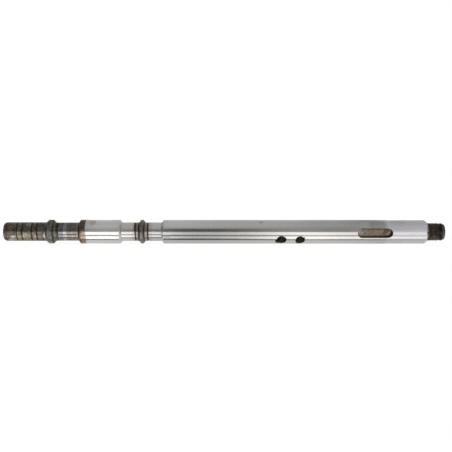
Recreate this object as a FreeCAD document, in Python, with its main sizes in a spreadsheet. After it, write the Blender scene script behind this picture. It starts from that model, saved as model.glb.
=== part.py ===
import FreeCAD, Part
import math
import os
import Sketcher

# Gear selector shaft: one steel bar, turned to an outline, then grooved, slotted and cross drilled.
# It lies along X with its slot facing -Y. The outline is drawn from the left end face, and the
# finished shaft is centred on its length.

# Driving sizes in millimetres and degrees. Runs are lengths along the shaft, from left to right.
SIZES = {
    # Left stub, blackened, with two pairs of ring marks
    "leftNoseDia": 17.8,
    "leftNoseRun": 2.3,
    "leftStubDia": 19.6,
    "leftStubRun": 41.4,
    "markFirst": 14.2,
    "markGap": 5.65,
    "markPairPitch": 15.4,
    "markFloor": 0.5,
    "markDepth": 0.3,
    # Stop collar and the neck behind it
    "collarDia": 25.0,
    "collarFlankRun": 2.8,
    "collarCrestRun": 4.6,
    "neckOneDia": 19.2,
    "neckOneRun": 23.8,
    # Front journal, with the same flank at its ends as the main bar
    "flankRun": 2.2,
    "journalDia": 25.0,
    "journalRun": 41.0,
    # Second neck, with a narrow ring near its middle
    "neckTwoDia": 19.6,
    "neckTwoLeftRun": 17.85,
    "neckTwoRightRun": 17.25,
    "ringDia": 25.0,
    "ringFlankRun": 1.9,
    "ringCrestRun": 2.6,
    "ringGrooveOffset": 6.4,
    "ringGrooveFloor": 0.6,
    "ringGrooveDepth": 0.4,
    # Main bar, and the seat at its right end, ground down a little further
    "mainDia": 25.0,
    "mainRun": 273.3,
    "seatRelief": 0.2,
    "seatRun": 40.6,
    "seatStepRun": 0.2,
    "shoulderRun": 3.2,
    # Right stub with a shallow wire groove
    "rightStubDia": 18.2,
    "rightStubRun": 14.6,
    "rightNoseRun": 2.6,
    "rightNoseDia": 15.7,
    "wireGrooveInset": 5.1,
    "wireGrooveRadius": 2.4,
    "wireGrooveDepth": 0.45,
    # Lathe centre in each end face
    "centreMouthDia": 6.7,
    "centrePilotDia": 3.15,
    "centrePilotDepth": 6.5,
    # Two cross holes, drilled through at a tilt below the slot
    "pinHoleDia": 9.5,
    "pinHoleTilt": 38.0,
    "pinFirst": 122.7,
    "pinPitch": 19.6,
    "leftPinBreak": 0.5,
    "rightPinBreak": 0.25,
    # Milled slot with round ends, and the drill point left in its floor
    "slotWidth": 9.5,
    "slotRun": 36.4,
    "slotInset": 34.9,
    "slotDepth": 7.0,
    "slotBreak": 0.3,
    "dimpleDia": 6.8,
    "drillPoint": 118.0,
    # Radii that round the outline's corners
    "collarFillet": 0.8,
    "ringFillet": 0.8,
    "edgeBreak": 0.3,
}

# The outline: each run, the diameter that it ends on, and any radius on the corner at its end
OUTLINE = (
    ("leftNoseRun", "leftStubDia", None),
    ("leftStubRun", "leftStubDia", "collarFillet"),
    ("collarFlankRun", "collarDia", "edgeBreak"),
    ("collarCrestRun", "collarDia", "edgeBreak"),
    ("collarFlankRun", "neckOneDia", "collarFillet"),
    ("neckOneRun", "neckOneDia", None),
    ("flankRun", "journalDia", "edgeBreak"),
    ("journalRun", "journalDia", "edgeBreak"),
    ("flankRun", "neckTwoDia", None),
    ("neckTwoLeftRun", "neckTwoDia", None),
    ("ringFlankRun", "ringDia", "ringFillet"),
    ("ringCrestRun", "ringDia", "ringFillet"),
    ("ringFlankRun", "neckTwoDia", None),
    ("neckTwoRightRun", "neckTwoDia", None),
    ("flankRun", "mainDia", "edgeBreak"),
    ("mainRun", "mainDia", None),
    ("shoulderRun", "rightStubDia", None),
    ("rightStubRun", "rightStubDia", None),
    ("rightNoseRun", "rightNoseDia", None),
)
RUNS = [run for run, diameter, radius in OUTLINE]

# Margin by which a cutting outline stands clear of the metal
CLEAR = 1.0

doc = FreeCAD.newDocument("SelectorShaft")
sheet = doc.addObject("Spreadsheet::Sheet", "Sizes")
for row, (alias, value) in enumerate(SIZES.items(), start=1):
    sheet.set(f"A{row}", alias)
    sheet.set(f"B{row}", str(value))
    sheet.setAlias(f"B{row}", alias)
doc.recompute()


def cell(alias):
    """The sheet's value under an alias, as an expression."""
    return f"Sizes.{alias}"


def total(runs):
    """Length of several runs on end: its value and its expression."""
    return sum(SIZES[run] for run in runs), " + ".join(cell(run) for run in runs)


def start_of(run):
    """Place where a run begins, from the left end face."""
    return total(RUNS[:RUNS.index(run)])


def end_of(run):
    """Place where a run ends, from the left end face."""
    return total(RUNS[:RUNS.index(run) + 1])


def new_sketch(body, name):
    """A sketch on the plane through the axis, with its x along the shaft."""
    sketch = body.newObject("Sketcher::SketchObject", name)
    plane = next(f for f in body.Origin.OriginFeatures if f.Role == "XZ_Plane")
    sketch.AttachmentSupport = (plane, "")
    sketch.MapMode = "FlatFace"
    return sketch


def dimension(sketch, kind, place, value, expression):
    """One driving dimension of a sketch, bound to the sheet."""
    index = sketch.addConstraint(Sketcher.Constraint(kind, *place, value))
    sketch.setExpression(f"Constraints[{index}]", expression)


def closed_loop(sketch, points):
    """Straight lines through the points and back to the first. Returns the lines' numbers."""
    vectors = [FreeCAD.Vector(x, y, 0) for x, y in points]
    ends = vectors[1:] + vectors[:1]
    lines = [sketch.addGeometry(Part.LineSegment(a, b), False) for a, b in zip(vectors, ends)]
    for line, following in zip(lines, lines[1:] + lines[:1]):
        sketch.addConstraint(Sketcher.Constraint("Coincident", line, 2, following, 1))
    return lines


def revolve(body, kind, name, sketch):
    """A full turn of a sketch about the shaft's axis, added or cut away."""
    feature = body.newObject(f"PartDesign::{kind}", name)
    feature.Profile = sketch
    feature.ReferenceAxis = (sketch, ["H_Axis"])
    feature.Angle = 360
    doc.recompute()
    return feature


def edge_names(shape, wanted):
    """Names of the edges whose every sampled point passes the test."""
    names = []
    for number, edge in enumerate(shape.Edges, start=1):
        if edge.Length > 0.01 and all(wanted(p) for p in edge.discretize(7)):
            names.append(f"Edge{number}")
    return names


def on_bar(point):
    """Whether a point lies on the main bar's surface."""
    return abs(math.hypot(point.y, point.z) - SIZES["mainDia"] / 2) < 0.02


def break_edges(body, name, size, wanted):
    """A chamfer on the edges that pass the test."""
    base = body.Tip
    names = edge_names(base.Shape, wanted)
    if not names:
        raise RuntimeError(f"{name} finds no edge")
    feature = body.newObject("PartDesign::Chamfer", name)
    feature.Base = (base, names)
    feature.setExpression("Size", cell(size))
    doc.recompute()
    return feature


def arc_points(last, corner, following, size):
    """Start, middle and end of the arc that rounds the corner between two straight sides."""
    back = (last - corner).normalize()
    ahead = (following - corner).normalize()
    half = back.getAngle(ahead) / 2
    inward = (back + ahead).normalize()
    reach = size / math.tan(half)
    return corner + back * reach, corner + inward * (size / math.sin(half) - size), corner + ahead * reach


def join_sides(sketch, before, after, corner, points, radius):
    """Joins two sides, with an arc if the corner has a radius. Returns the place of the sharp corner."""
    if not radius:
        sketch.addConstraint(Sketcher.Constraint("Coincident", before, 2, after, 1))
        return after, 1
    arc = sketch.addGeometry(Part.Arc(*points), False)
    first = 1 if sketch.getPoint(arc, 1).isEqual(points[0], 0.001) else 2
    sketch.addConstraint(Sketcher.Constraint("Tangent", before, 2, arc, first))
    sketch.addConstraint(Sketcher.Constraint("Tangent", arc, 3 - first, after, 1))
    dimension(sketch, "Radius", (arc,), SIZES[radius], cell(radius))
    sharp = sketch.addGeometry(Part.Point(corner), True)
    sketch.addConstraint(Sketcher.Constraint("PointOnObject", sharp, 1, before))
    sketch.addConstraint(Sketcher.Constraint("PointOnObject", sharp, 1, after))
    return sharp, 1


def outline_sketch(body):
    """Half of the turned outline, from the left end face along the axis."""
    sketch = new_sketch(body, "TurnedOutline")
    along = 0
    places = [(along, 0), (along, SIZES["leftNoseDia"] / 2)]
    radii = [None, None]
    for run, diameter, radius in OUTLINE:
        along += SIZES[run]
        places.append((along, SIZES[diameter] / 2))
        radii.append(radius)
    places.append((along, 0))
    radii.append(None)

    # The sides run between the ends of their corners' arcs
    corners = [FreeCAD.Vector(x, y, 0) for x, y in places]
    arcs = []
    neighbours = zip(corners[-1:] + corners, corners, corners[1:] + corners, radii)
    for last, corner, following, radius in neighbours:
        arcs.append(arc_points(last, corner, following, SIZES[radius]) if radius else (corner,) * 3)
    sides = []
    for here, there in zip(arcs, arcs[1:] + arcs[:1]):
        sides.append(sketch.addGeometry(Part.LineSegment(here[2], there[0]), False))
    joints = []
    for before, after, corner, points, radius in zip(sides[-1:] + sides, sides, corners, arcs, radii):
        joints.append(join_sides(sketch, before, after, corner, points, radius))

    left_face, right_face, axis = sides[0], sides[-2], sides[-1]
    sketch.addConstraint(Sketcher.Constraint("Coincident", left_face, 1, -1, 1))
    sketch.addConstraint(Sketcher.Constraint("Vertical", left_face))
    sketch.addConstraint(Sketcher.Constraint("Vertical", right_face))
    sketch.addConstraint(Sketcher.Constraint("PointOnObject", axis, 1, -1))
    width = "leftNoseDia"
    dimension(sketch, "DistanceY", (-1, 1, *joints[1]), SIZES[width] / 2, cell(width) + " / 2")
    for side, start, end, (run, diameter, radius) in zip(sides[1:], joints[1:], joints[2:], OUTLINE):
        dimension(sketch, "DistanceX", (*start, *end), SIZES[run], cell(run))
        if diameter == width:
            sketch.addConstraint(Sketcher.Constraint("Horizontal", side))
        else:
            dimension(sketch, "DistanceY", (-1, 1, *end), SIZES[diameter] / 2, cell(diameter) + " / 2")
        width = diameter
    return sketch


def flat_groove(body, name, place, diameter, floor, depth):
    """A groove with a flat floor and 45 degree sides, centred at a place on the axis."""
    value, expression = place
    sketch = new_sketch(body, name + "Section")
    half, sink = SIZES[floor] / 2, SIZES[depth]
    surface = SIZES[diameter] / 2
    low, high, side = surface - sink, surface + CLEAR, sink + CLEAR
    points = [(value - half - side, high), (value - half, low), (value + half, low),
              (value + half + side, high)]
    left, bottom, right, top = closed_loop(sketch, points)
    sketch.addConstraint(Sketcher.Constraint("Horizontal", bottom))
    sketch.addConstraint(Sketcher.Constraint("Horizontal", top))
    dimension(sketch, "DistanceX", (-1, 1, bottom, 1), value - half, f"{expression} - {cell(floor)} / 2")
    dimension(sketch, "DistanceX", (bottom, 1, bottom, 2), 2 * half, cell(floor))
    for wall in ((left, 1, left, 2), (right, 1, right, 2)):
        dimension(sketch, "DistanceX", wall, side, f"{cell(depth)} + {CLEAR}")
    dimension(sketch, "DistanceY", (-1, 1, bottom, 1), low, f"{cell(diameter)} / 2 - {cell(depth)}")
    dimension(sketch, "DistanceY", (bottom, 2, right, 2), side, f"{cell(depth)} + {CLEAR}")
    return revolve(body, "Groove", name, sketch)


def round_groove(body, name, place, diameter, radius, depth):
    """A groove of circular section, sunk to a depth below a diameter at a place on the axis."""
    value, expression = place
    sketch = new_sketch(body, name + "Section")
    height = SIZES[diameter] / 2 + SIZES[radius] - SIZES[depth]
    centre = FreeCAD.Vector(value, height, 0)
    circle = sketch.addGeometry(Part.Circle(centre, FreeCAD.Vector(0, 0, 1), SIZES[radius]), False)
    dimension(sketch, "DistanceX", (-1, 1, circle, 3), value, expression)
    dimension(sketch, "DistanceY", (-1, 1, circle, 3), height,
              f"{cell(diameter)} / 2 + {cell(radius)} - {cell(depth)}")
    dimension(sketch, "Radius", (circle,), SIZES[radius], cell(radius))
    return revolve(body, "Groove", name, sketch)


def seat_cut(body):
    """The seat at the right end of the main bar, ground a little smaller with a short run-out."""
    sketch = new_sketch(body, "SeatOutline")
    end, end_expression = end_of("shoulderRun")
    bar_end, bar_end_expression = end_of("mainRun")
    start = bar_end - SIZES["seatRun"]
    surface = SIZES["mainDia"] / 2
    low, high = surface - SIZES["seatRelief"], surface + CLEAR
    slope = SIZES["seatStepRun"]
    points = [(start, high), (start, surface), (start + slope, low), (end, low), (end, high)]
    left, ramp, floor, right, top = closed_loop(sketch, points)
    for upright in (left, right):
        sketch.addConstraint(Sketcher.Constraint("Vertical", upright))
    for level in (floor, top):
        sketch.addConstraint(Sketcher.Constraint("Horizontal", level))
    dimension(sketch, "DistanceX", (-1, 1, ramp, 1), start, f"{bar_end_expression} - {cell('seatRun')}")
    dimension(sketch, "DistanceX", (ramp, 1, ramp, 2), slope, cell("seatStepRun"))
    dimension(sketch, "DistanceX", (-1, 1, right, 1), end, end_expression)
    dimension(sketch, "DistanceY", (-1, 1, ramp, 1), surface, cell("mainDia") + " / 2")
    dimension(sketch, "DistanceY", (ramp, 2, ramp, 1), SIZES["seatRelief"], cell("seatRelief"))
    dimension(sketch, "DistanceY", (left, 2, left, 1), CLEAR, str(CLEAR))
    return revolve(body, "Groove", "Seat", sketch)


def lathe_centre(body, name, place, inward):
    """A 60 degree lathe centre with its pilot hole. Inward is 1 from the left face, -1 from the right."""
    value, expression = place
    sketch = new_sketch(body, name + "Section")
    mouth, pilot = SIZES["centreMouthDia"] / 2, SIZES["centrePilotDia"] / 2
    cone = (mouth - pilot) / math.tan(math.radians(30))
    deep = SIZES["centrePilotDepth"]
    points = [(value, 0), (value, mouth), (value + inward * cone, pilot),
              (value + inward * deep, pilot), (value + inward * deep, 0)]
    face, flank, wall, bottom, axis = closed_loop(sketch, points)
    sketch.addConstraint(Sketcher.Constraint("PointOnObject", bottom, 2, -1))
    for upright in (face, bottom):
        sketch.addConstraint(Sketcher.Constraint("Vertical", upright))
    sketch.addConstraint(Sketcher.Constraint("Horizontal", wall))
    near, far = ((face, 1), (bottom, 2)) if inward > 0 else ((bottom, 2), (face, 1))
    run = f"({cell('centreMouthDia')} - {cell('centrePilotDia')}) / 2 / tan(30)"
    step = (flank, 1, flank, 2) if inward > 0 else (flank, 2, flank, 1)
    if value:
        sketch.addConstraint(Sketcher.Constraint("PointOnObject", face, 1, -1))
        dimension(sketch, "DistanceX", (-1, 1, face, 1), value, expression)
    else:
        sketch.addConstraint(Sketcher.Constraint("Coincident", face, 1, -1, 1))
    dimension(sketch, "DistanceX", step, cone, run)
    dimension(sketch, "DistanceX", (*near, *far), deep, cell("centrePilotDepth"))
    dimension(sketch, "DistanceY", (-1, 1, face, 2), mouth, cell("centreMouthDia") + " / 2")
    dimension(sketch, "DistanceY", (-1, 1, wall, 1), pilot, cell("centrePilotDia") + " / 2")
    return revolve(body, "Groove", name, sketch)


def slot_cut(body):
    """The milled slot: straight sides, round ends, open towards -Y."""
    sketch = new_sketch(body, "SlotOutline")
    sketch.setExpression("AttachmentOffset.Base.z", cell("mainDia") + " / 2")
    shoulder, shoulder_expression = end_of("mainRun")
    half = SIZES["slotWidth"] / 2
    right = shoulder - SIZES["slotInset"] - half
    left = right + 2 * half - SIZES["slotRun"]
    up = FreeCAD.Vector(0, 0, 1)
    ends = []
    for x, turn in ((left, 90), (right, -90)):
        circle = Part.Circle(FreeCAD.Vector(x, 0, 0), up, half)
        arc = Part.ArcOfCircle(circle, math.radians(turn), math.radians(turn + 180))
        ends.append(sketch.addGeometry(arc, False))
    top = sketch.addGeometry(Part.LineSegment(FreeCAD.Vector(right, half, 0),
                                              FreeCAD.Vector(left, half, 0)), False)
    bottom = sketch.addGeometry(Part.LineSegment(FreeCAD.Vector(left, -half, 0),
                                                 FreeCAD.Vector(right, -half, 0)), False)
    left_end, right_end = ends
    sketch.addConstraint(Sketcher.Constraint("Tangent", top, 2, left_end, 1))
    sketch.addConstraint(Sketcher.Constraint("Tangent", left_end, 2, bottom, 1))
    sketch.addConstraint(Sketcher.Constraint("Tangent", bottom, 2, right_end, 1))
    sketch.addConstraint(Sketcher.Constraint("Tangent", right_end, 2, top, 1))
    sketch.addConstraint(Sketcher.Constraint("PointOnObject", left_end, 3, -1))
    sketch.addConstraint(Sketcher.Constraint("PointOnObject", right_end, 3, -1))
    dimension(sketch, "Radius", (left_end,), half, cell("slotWidth") + " / 2")
    dimension(sketch, "DistanceX", (left_end, 3, right_end, 3), right - left,
              f"{cell('slotRun')} - {cell('slotWidth')}")
    right_expression = f"{shoulder_expression} - {cell('slotInset')} - {cell('slotWidth')} / 2"
    dimension(sketch, "DistanceX", (-1, 1, right_end, 3), right, right_expression)
    pocket = body.newObject("PartDesign::Pocket", "Slot")
    pocket.Profile = sketch
    pocket.setExpression("Length", cell("slotDepth"))
    doc.recompute()
    return right, right_expression


def drill_dimple(body, place):
    """The point of the drill that opened the slot's right end, left in its floor."""
    value, expression = place
    sketch = new_sketch(body, "DrillCentre")
    sketch.setExpression("AttachmentOffset.Base.z", cell("mainDia") + " / 2")
    radius = SIZES["dimpleDia"] / 2
    circle = sketch.addGeometry(
        Part.Circle(FreeCAD.Vector(value, 0, 0), FreeCAD.Vector(0, 0, 1), radius), False)
    sketch.addConstraint(Sketcher.Constraint("PointOnObject", circle, 3, -1))
    dimension(sketch, "DistanceX", (-1, 1, circle, 3), value, expression)
    dimension(sketch, "Radius", (circle,), radius, cell("dimpleDia") + " / 2")
    doc.recompute()
    hole = body.newObject("PartDesign::Hole", "DrillPoint")
    hole.Profile = sketch
    doc.recompute()
    hole.Threaded = False
    hole.DepthType = "Dimension"
    hole.DrillPoint = "Angled"
    hole.DrillForDepth = False
    hole.setExpression("Diameter", cell("dimpleDia"))
    hole.setExpression("Depth", cell("slotDepth"))
    hole.setExpression("DrillPointAngle", cell("drillPoint"))
    doc.recompute()
    return hole


def pin_holes(body):
    """Two cross holes through the main bar, on a plane tilted about the axis."""
    sketch = new_sketch(body, "PinHoleCentres")
    tilt = FreeCAD.Rotation(FreeCAD.Vector(1, 0, 0), SIZES["pinHoleTilt"])
    sketch.AttachmentOffset = FreeCAD.Placement(FreeCAD.Vector(0, 0, 0), tilt)
    sketch.setExpression("AttachmentOffset.Rotation.Angle", cell("pinHoleTilt"))
    start, expression = start_of("mainRun")
    first = start + SIZES["pinFirst"]
    radius = SIZES["pinHoleDia"] / 2
    circles = []
    for x in (first, first + SIZES["pinPitch"]):
        circle = Part.Circle(FreeCAD.Vector(x, 0, 0), FreeCAD.Vector(0, 0, 1), radius)
        circles.append(sketch.addGeometry(circle, False))
    left, right = circles
    for circle in circles:
        sketch.addConstraint(Sketcher.Constraint("PointOnObject", circle, 3, -1))
    sketch.addConstraint(Sketcher.Constraint("Equal", left, right))
    dimension(sketch, "Radius", (left,), radius, cell("pinHoleDia") + " / 2")
    dimension(sketch, "DistanceX", (-1, 1, left, 3), first, f"{expression} + {cell('pinFirst')}")
    dimension(sketch, "DistanceX", (left, 3, right, 3), SIZES["pinPitch"], cell("pinPitch"))
    pocket = body.newObject("PartDesign::Pocket", "PinHoles")
    pocket.Profile = sketch
    pocket.SideType = "Symmetric"
    pocket.setExpression("Length", f"{cell('mainDia')} + 2 * {CLEAR}")
    doc.recompute()
    return first, first + SIZES["pinPitch"]


def removed(body, before, name):
    """Says how much metal a cut took, and stops where it took none."""
    volume = body.Tip.Shape.Volume
    if volume > before - 0.5:
        raise RuntimeError(f"{name} cut nothing")
    print(f"{name}: {before - volume:.1f} mm3 removed")
    return volume


def selector_shaft():
    body = doc.addObject("PartDesign::Body", "SelectorShaft")
    body.Label = "selector_shaft"
    length, expression = total(RUNS)
    body.setExpression("Placement.Base.x", f"-({expression}) / 2")
    revolve(body, "Revolution", "TurnedBar", outline_sketch(body))
    volume = body.Tip.Shape.Volume

    # Ring marks of the left stub, in two pairs
    for pair in range(2):
        for member in range(2):
            value = SIZES["markFirst"] + pair * SIZES["markPairPitch"] + member * SIZES["markGap"]
            text = f"{cell('markFirst')} + {pair} * {cell('markPairPitch')} + {member} * {cell('markGap')}"
            flat_groove(body, f"StubMark{2 * pair + member + 1}", (value, text),
                        "leftStubDia", "markFloor", "markDepth")
    # Grooves on either side of the ring
    crest, crest_text = start_of("ringCrestRun")
    for side, name in ((-1, "RingGrooveLeft"), (1, "RingGrooveRight")):
        value = crest + SIZES["ringCrestRun"] / 2 + side * SIZES["ringGrooveOffset"]
        text = f"{crest_text} + {cell('ringCrestRun')} / 2 + {side} * {cell('ringGrooveOffset')}"
        flat_groove(body, name, (value, text), "neckTwoDia", "ringGrooveFloor", "ringGrooveDepth")
    # Wire groove of the right stub
    wire_place = (length - SIZES["wireGrooveInset"], f"{expression} - {cell('wireGrooveInset')}")
    round_groove(body, "WireGroove", wire_place, "rightStubDia", "wireGrooveRadius", "wireGrooveDepth")
    volume = removed(body, volume, "Grooves")

    lathe_centre(body, "LeftCentre", (0, "0"), 1)
    lathe_centre(body, "RightCentre", (length, expression), -1)
    volume = removed(body, volume, "Lathe centres")

    pins = pin_holes(body)
    volume = removed(body, volume, "Pin holes")
    reach = SIZES["pinHoleDia"] / 2 + 0.01
    for x, name, size in zip(pins, ("LeftPinMouths", "RightPinMouths"), ("leftPinBreak", "rightPinBreak")):
        break_edges(body, name, size,
                    lambda p, x=x: abs(p.x - x) < reach and on_bar(p))

    slot_end = slot_cut(body)
    volume = removed(body, volume, "Slot")
    slot_right = slot_end[0] + SIZES["slotWidth"] / 2
    slot_left = slot_right - SIZES["slotRun"]
    reach = SIZES["slotWidth"] / 2 + 0.01
    break_edges(body, "SlotBreak", "slotBreak",
                lambda p: slot_left - 0.1 < p.x < slot_right + 0.1 and p.y < 0
                and abs(p.z) < reach and on_bar(p))
    drill_dimple(body, slot_end)
    volume = removed(body, volume, "Drill point")
    seat_cut(body)
    removed(body, volume, "Seat")
    return body


body = selector_shaft()
doc.recompute()
for item in doc.Objects:
    if {"Invalid", "Error"} & set(item.State):
        raise RuntimeError(f"{item.Name} failed: {item.State}")
shape = body.Shape
if shape.isNull() or not shape.isValid() or len(shape.Solids) != 1:
    raise RuntimeError(f"{body.Label} is not one valid solid")
box = shape.BoundBox
print(f"{body.Label}: {box.XLength:.2f} x {box.YLength:.2f} x {box.ZLength:.2f} mm, "
      f"{shape.Volume / 1000:.2f} cm3, x from {box.XMin:.2f} to {box.XMax:.2f}")
os.makedirs("parts", exist_ok=True)
shape.exportStep(f"parts/{body.Label}.step")
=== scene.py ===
import math

import bpy
import bmesh
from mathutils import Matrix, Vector


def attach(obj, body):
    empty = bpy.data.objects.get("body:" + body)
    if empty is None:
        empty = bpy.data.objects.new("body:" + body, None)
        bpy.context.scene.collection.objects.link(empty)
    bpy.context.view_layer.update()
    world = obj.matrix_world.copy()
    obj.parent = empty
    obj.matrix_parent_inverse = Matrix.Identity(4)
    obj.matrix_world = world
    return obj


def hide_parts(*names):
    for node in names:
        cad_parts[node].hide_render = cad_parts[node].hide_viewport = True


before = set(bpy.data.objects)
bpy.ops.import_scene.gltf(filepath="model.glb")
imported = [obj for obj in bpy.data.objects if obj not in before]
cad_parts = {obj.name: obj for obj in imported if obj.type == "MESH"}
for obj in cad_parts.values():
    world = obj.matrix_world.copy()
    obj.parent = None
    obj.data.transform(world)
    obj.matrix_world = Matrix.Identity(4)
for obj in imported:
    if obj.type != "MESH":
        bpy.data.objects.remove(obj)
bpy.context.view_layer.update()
scene = bpy.context.scene
scene.view_settings.view_transform = "Standard"
mm = 0.001


# all sizes in mm, with stations counted from the left end face
shaft = {
    "length": 460.5,
    "around": 320,               # facets around the bar
    "arcSteps": 5,               # facets of each rounded corner
    "diameters": {
        "leftNose": 17.8, "leftStub": 19.6, "bar": 25.0, "neckOne": 19.2, "neckTwo": 19.6,
        "seat": 24.6, "rightStub": 18.2, "rightNose": 15.7,
    },
    # station of each corner, its diameter and the radius that rounds it
    "corners": [
        (0.0, "leftNose", 0.35), (2.3, "leftStub", 0.4), (43.7, "leftStub", 0.8),
        (46.5, "bar", 0.3), (51.1, "bar", 0.3), (53.9, "neckOne", 0.8),
        (77.7, "neckOne", 0.25), (79.9, "bar", 0.3), (120.9, "bar", 0.3), (123.1, "neckTwo", 0.25),
        (140.95, "neckTwo", 0.25), (142.85, "bar", 0.8), (145.45, "bar", 0.8), (147.35, "neckTwo", 0.25),
        (164.6, "neckTwo", 0.25), (166.8, "bar", 0.3), (399.5, "bar", 0.0), (399.7, "seat", 0.0),
        (440.1, "seat", 0.35), (443.3, "rightStub", 0.3), (457.9, "rightStub", 0.35),
        (460.5, "rightNose", 0.3),
    ],
    "marks": {"places": [14.2, 19.85, 29.6, 35.25], "diameter": "leftStub", "floor": 0.5, "depth": 0.3},
    "ringGrooves": {"places": [137.75, 150.55], "diameter": "neckTwo", "floor": 0.6, "depth": 0.4},
    "grooveCorner": 0.08,        # radius at the corners of marks and ring grooves
    "wireGroove": {"place": 455.4, "diameter": "rightStub", "radius": 2.4, "depth": 0.45, "steps": 12},
    "centre": {"mouth": 6.7, "pilot": 3.15, "depth": 6.5, "coneAngle": 60.0},
    "sharpAngle": 28.0,          # edges turned more than this stay sharp
    "normalWeight": 90,
}


def roundedCorner(before, corner, after, radius, steps):
    # points of the arc that rounds a corner of the outline
    if radius <= 0:
        return [corner]
    back = (before - corner).normalized()
    ahead = (after - corner).normalized()
    half = back.angle(ahead) / 2
    reach = radius / math.tan(half)
    centre = corner + (back + ahead).normalized() * radius / math.sin(half)
    start = corner + back * reach - centre
    end = corner + ahead * reach - centre
    turn = start.angle(end)
    points = []
    for i in range(steps + 1):
        t = i / steps
        swing = start * math.sin((1 - t) * turn) + end * math.sin(t * turn)
        points.append(centre + swing / math.sin(turn))
    return points


def shaftOutline(spec):
    # half of the turned outline as (station, radius), lathe centres included
    radii = {name: across / 2 for name, across in spec["diameters"].items()}
    sharp = [(Vector((x, radii[name])), rounding) for x, name, rounding in spec["corners"]]
    for groove in (spec["marks"], spec["ringGrooves"]):
        half, sink = groove["floor"] / 2, groove["depth"]
        top = radii[groove["diameter"]]
        for at in groove["places"]:
            for x, y in ((-half - sink, top), (-half, top - sink), (half, top - sink), (half + sink, top)):
                sharp.append((Vector((at + x, y)), spec["grooveCorner"]))
    wire = spec["wireGroove"]
    level = radii[wire["diameter"]] + wire["radius"] - wire["depth"]
    reach = math.sqrt(wire["radius"] ** 2 - (wire["radius"] - wire["depth"]) ** 2)
    for i in range(wire["steps"] + 1):
        x = reach * (2 * i / wire["steps"] - 1)
        sharp.append((Vector((wire["place"] + x, level - math.sqrt(wire["radius"] ** 2 - x * x))), 0.0))
    sharp.sort(key=lambda item: item[0].x)

    centre = spec["centre"]
    mouth, pilot, deep = centre["mouth"] / 2, centre["pilot"] / 2, centre["depth"]
    cone = (mouth - pilot) / math.tan(math.radians(centre["coneAngle"] / 2))
    left = [Vector((deep, 0)), Vector((deep, pilot)), Vector((cone, pilot)), Vector((0, mouth))]
    right = [Vector((spec["length"] - p.x, p.y)) for p in reversed(left)]
    corners = [(p, 0.0) for p in left] + sharp + [(p, 0.0) for p in right]
    points = [corners[0][0]]
    for last, here, following in zip(corners, corners[1:], corners[2:]):
        points += roundedCorner(last[0], here[0], following[0], here[1], spec["arcSteps"])
    points.append(corners[-1][0])
    return points


def joinRings(mesh, rings):
    # faces between neighbouring rings, where a ring of one point closes the end
    for a, b in zip(rings, rings[1:]):
        count = max(len(a), len(b))
        for k in range(count):
            n = (k + 1) % count
            if len(a) == 1:
                mesh.faces.new((a[0], b[n], b[k]))
            elif len(b) == 1:
                mesh.faces.new((a[k], a[n], b[0]))
            else:
                mesh.faces.new((a[k], a[n], b[n], b[k]))


def newObject(name, mesh):
    data = bpy.data.meshes.new(name)
    mesh.to_mesh(data)
    mesh.free()
    item = bpy.data.objects.new(name, data)
    scene.collection.objects.link(item)
    return item


def turnedBar(spec):
    # the outline spun about the axis
    mesh = bmesh.new()
    around = spec["around"]
    rings = []
    for p in shaftOutline(spec):
        x = (p.x - spec["length"] / 2) * mm
        if p.y == 0:
            rings.append([mesh.verts.new((x, 0, 0))])
            continue
        ring = []
        for k in range(around):
            a = 2 * math.pi * k / around
            ring.append(mesh.verts.new((x, p.y * mm * math.cos(a), p.y * mm * math.sin(a))))
        rings.append(ring)
    joinRings(mesh, rings)
    bmesh.ops.recalc_face_normals(mesh, faces=mesh.faces)
    return newObject("selectorShaft", mesh)


body = turnedBar(shaft)
print("turned bar:", len(body.data.vertices), "points")


pinHoles = {
    "radius": 4.75, "tilt": 38.0, "steps": 72,
    "places": [(289.5, 0.5), (309.1, 0.25)],      # station and width of the broken edge
}
guideSlot = {
    "width": 9.5, "rightCentre": 400.45, "run": 36.4, "depth": 7.0, "endSteps": 28,
    "break": 0.3, "floorRadius": 0.35, "floorSteps": 4,
    "drill": {"radius": 3.4, "angle": 118.0, "steps": 64},
}
cutters = {
    "barRadius": shaft["diameters"]["bar"] / 2,
    "proud": 3.0,                # how far they stand out of the bar
    "flare": 0.02,               # how much wider than the broken edge they are there
    # a broken edge in steps: shares of its width outwards, and down from the bar's surface
    "edgeSteps": [(1.0, 0.0), (0.45, 0.35), (0.12, 0.75), (0.0, 1.3)],
}


def loft(name, rings):
    # a closed cutter through rings of equal count
    mesh = bmesh.new()
    made = [[mesh.verts.new(Vector(p) * mm) for p in ring] for ring in rings]
    joinRings(mesh, made)
    mesh.faces.new(made[0])
    mesh.faces.new(made[-1])
    bmesh.ops.recalc_face_normals(mesh, faces=mesh.faces)
    return newObject(name, mesh)


def holeCutter(spec, station, lip):
    # a drill's cylinder that flares where it meets the bar on both sides
    bar, radius = cutters["barRadius"], spec["radius"]
    tilt = math.radians(spec["tilt"])
    out = Vector((0, -math.cos(tilt), -math.sin(tilt)))
    across = Vector((0, math.sin(tilt), -math.cos(tilt)))
    x = station - shaft["length"] / 2

    def ring(grow, sink, side):
        points = []
        for k in range(spec["steps"]):
            a = 2 * math.pi * k / spec["steps"]
            u, v = (radius + grow) * math.cos(a), (radius + grow) * math.sin(a)
            level = bar + cutters["proud"] if sink is None else math.sqrt(bar * bar - v * v) - sink
            points.append(Vector((x + u, 0, 0)) + across * v + out * side * level)
        return points

    mouth = lip + cutters["flare"]
    lips = [(lip * grow, lip * sink) for grow, sink in cutters["edgeSteps"]]
    rings = [ring(mouth, None, 1)] + [ring(grow, sink, 1) for grow, sink in lips]
    rings += [ring(grow, sink, -1) for grow, sink in reversed(lips)] + [ring(mouth, None, -1)]
    return loft("holeCutter", rings)


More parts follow.
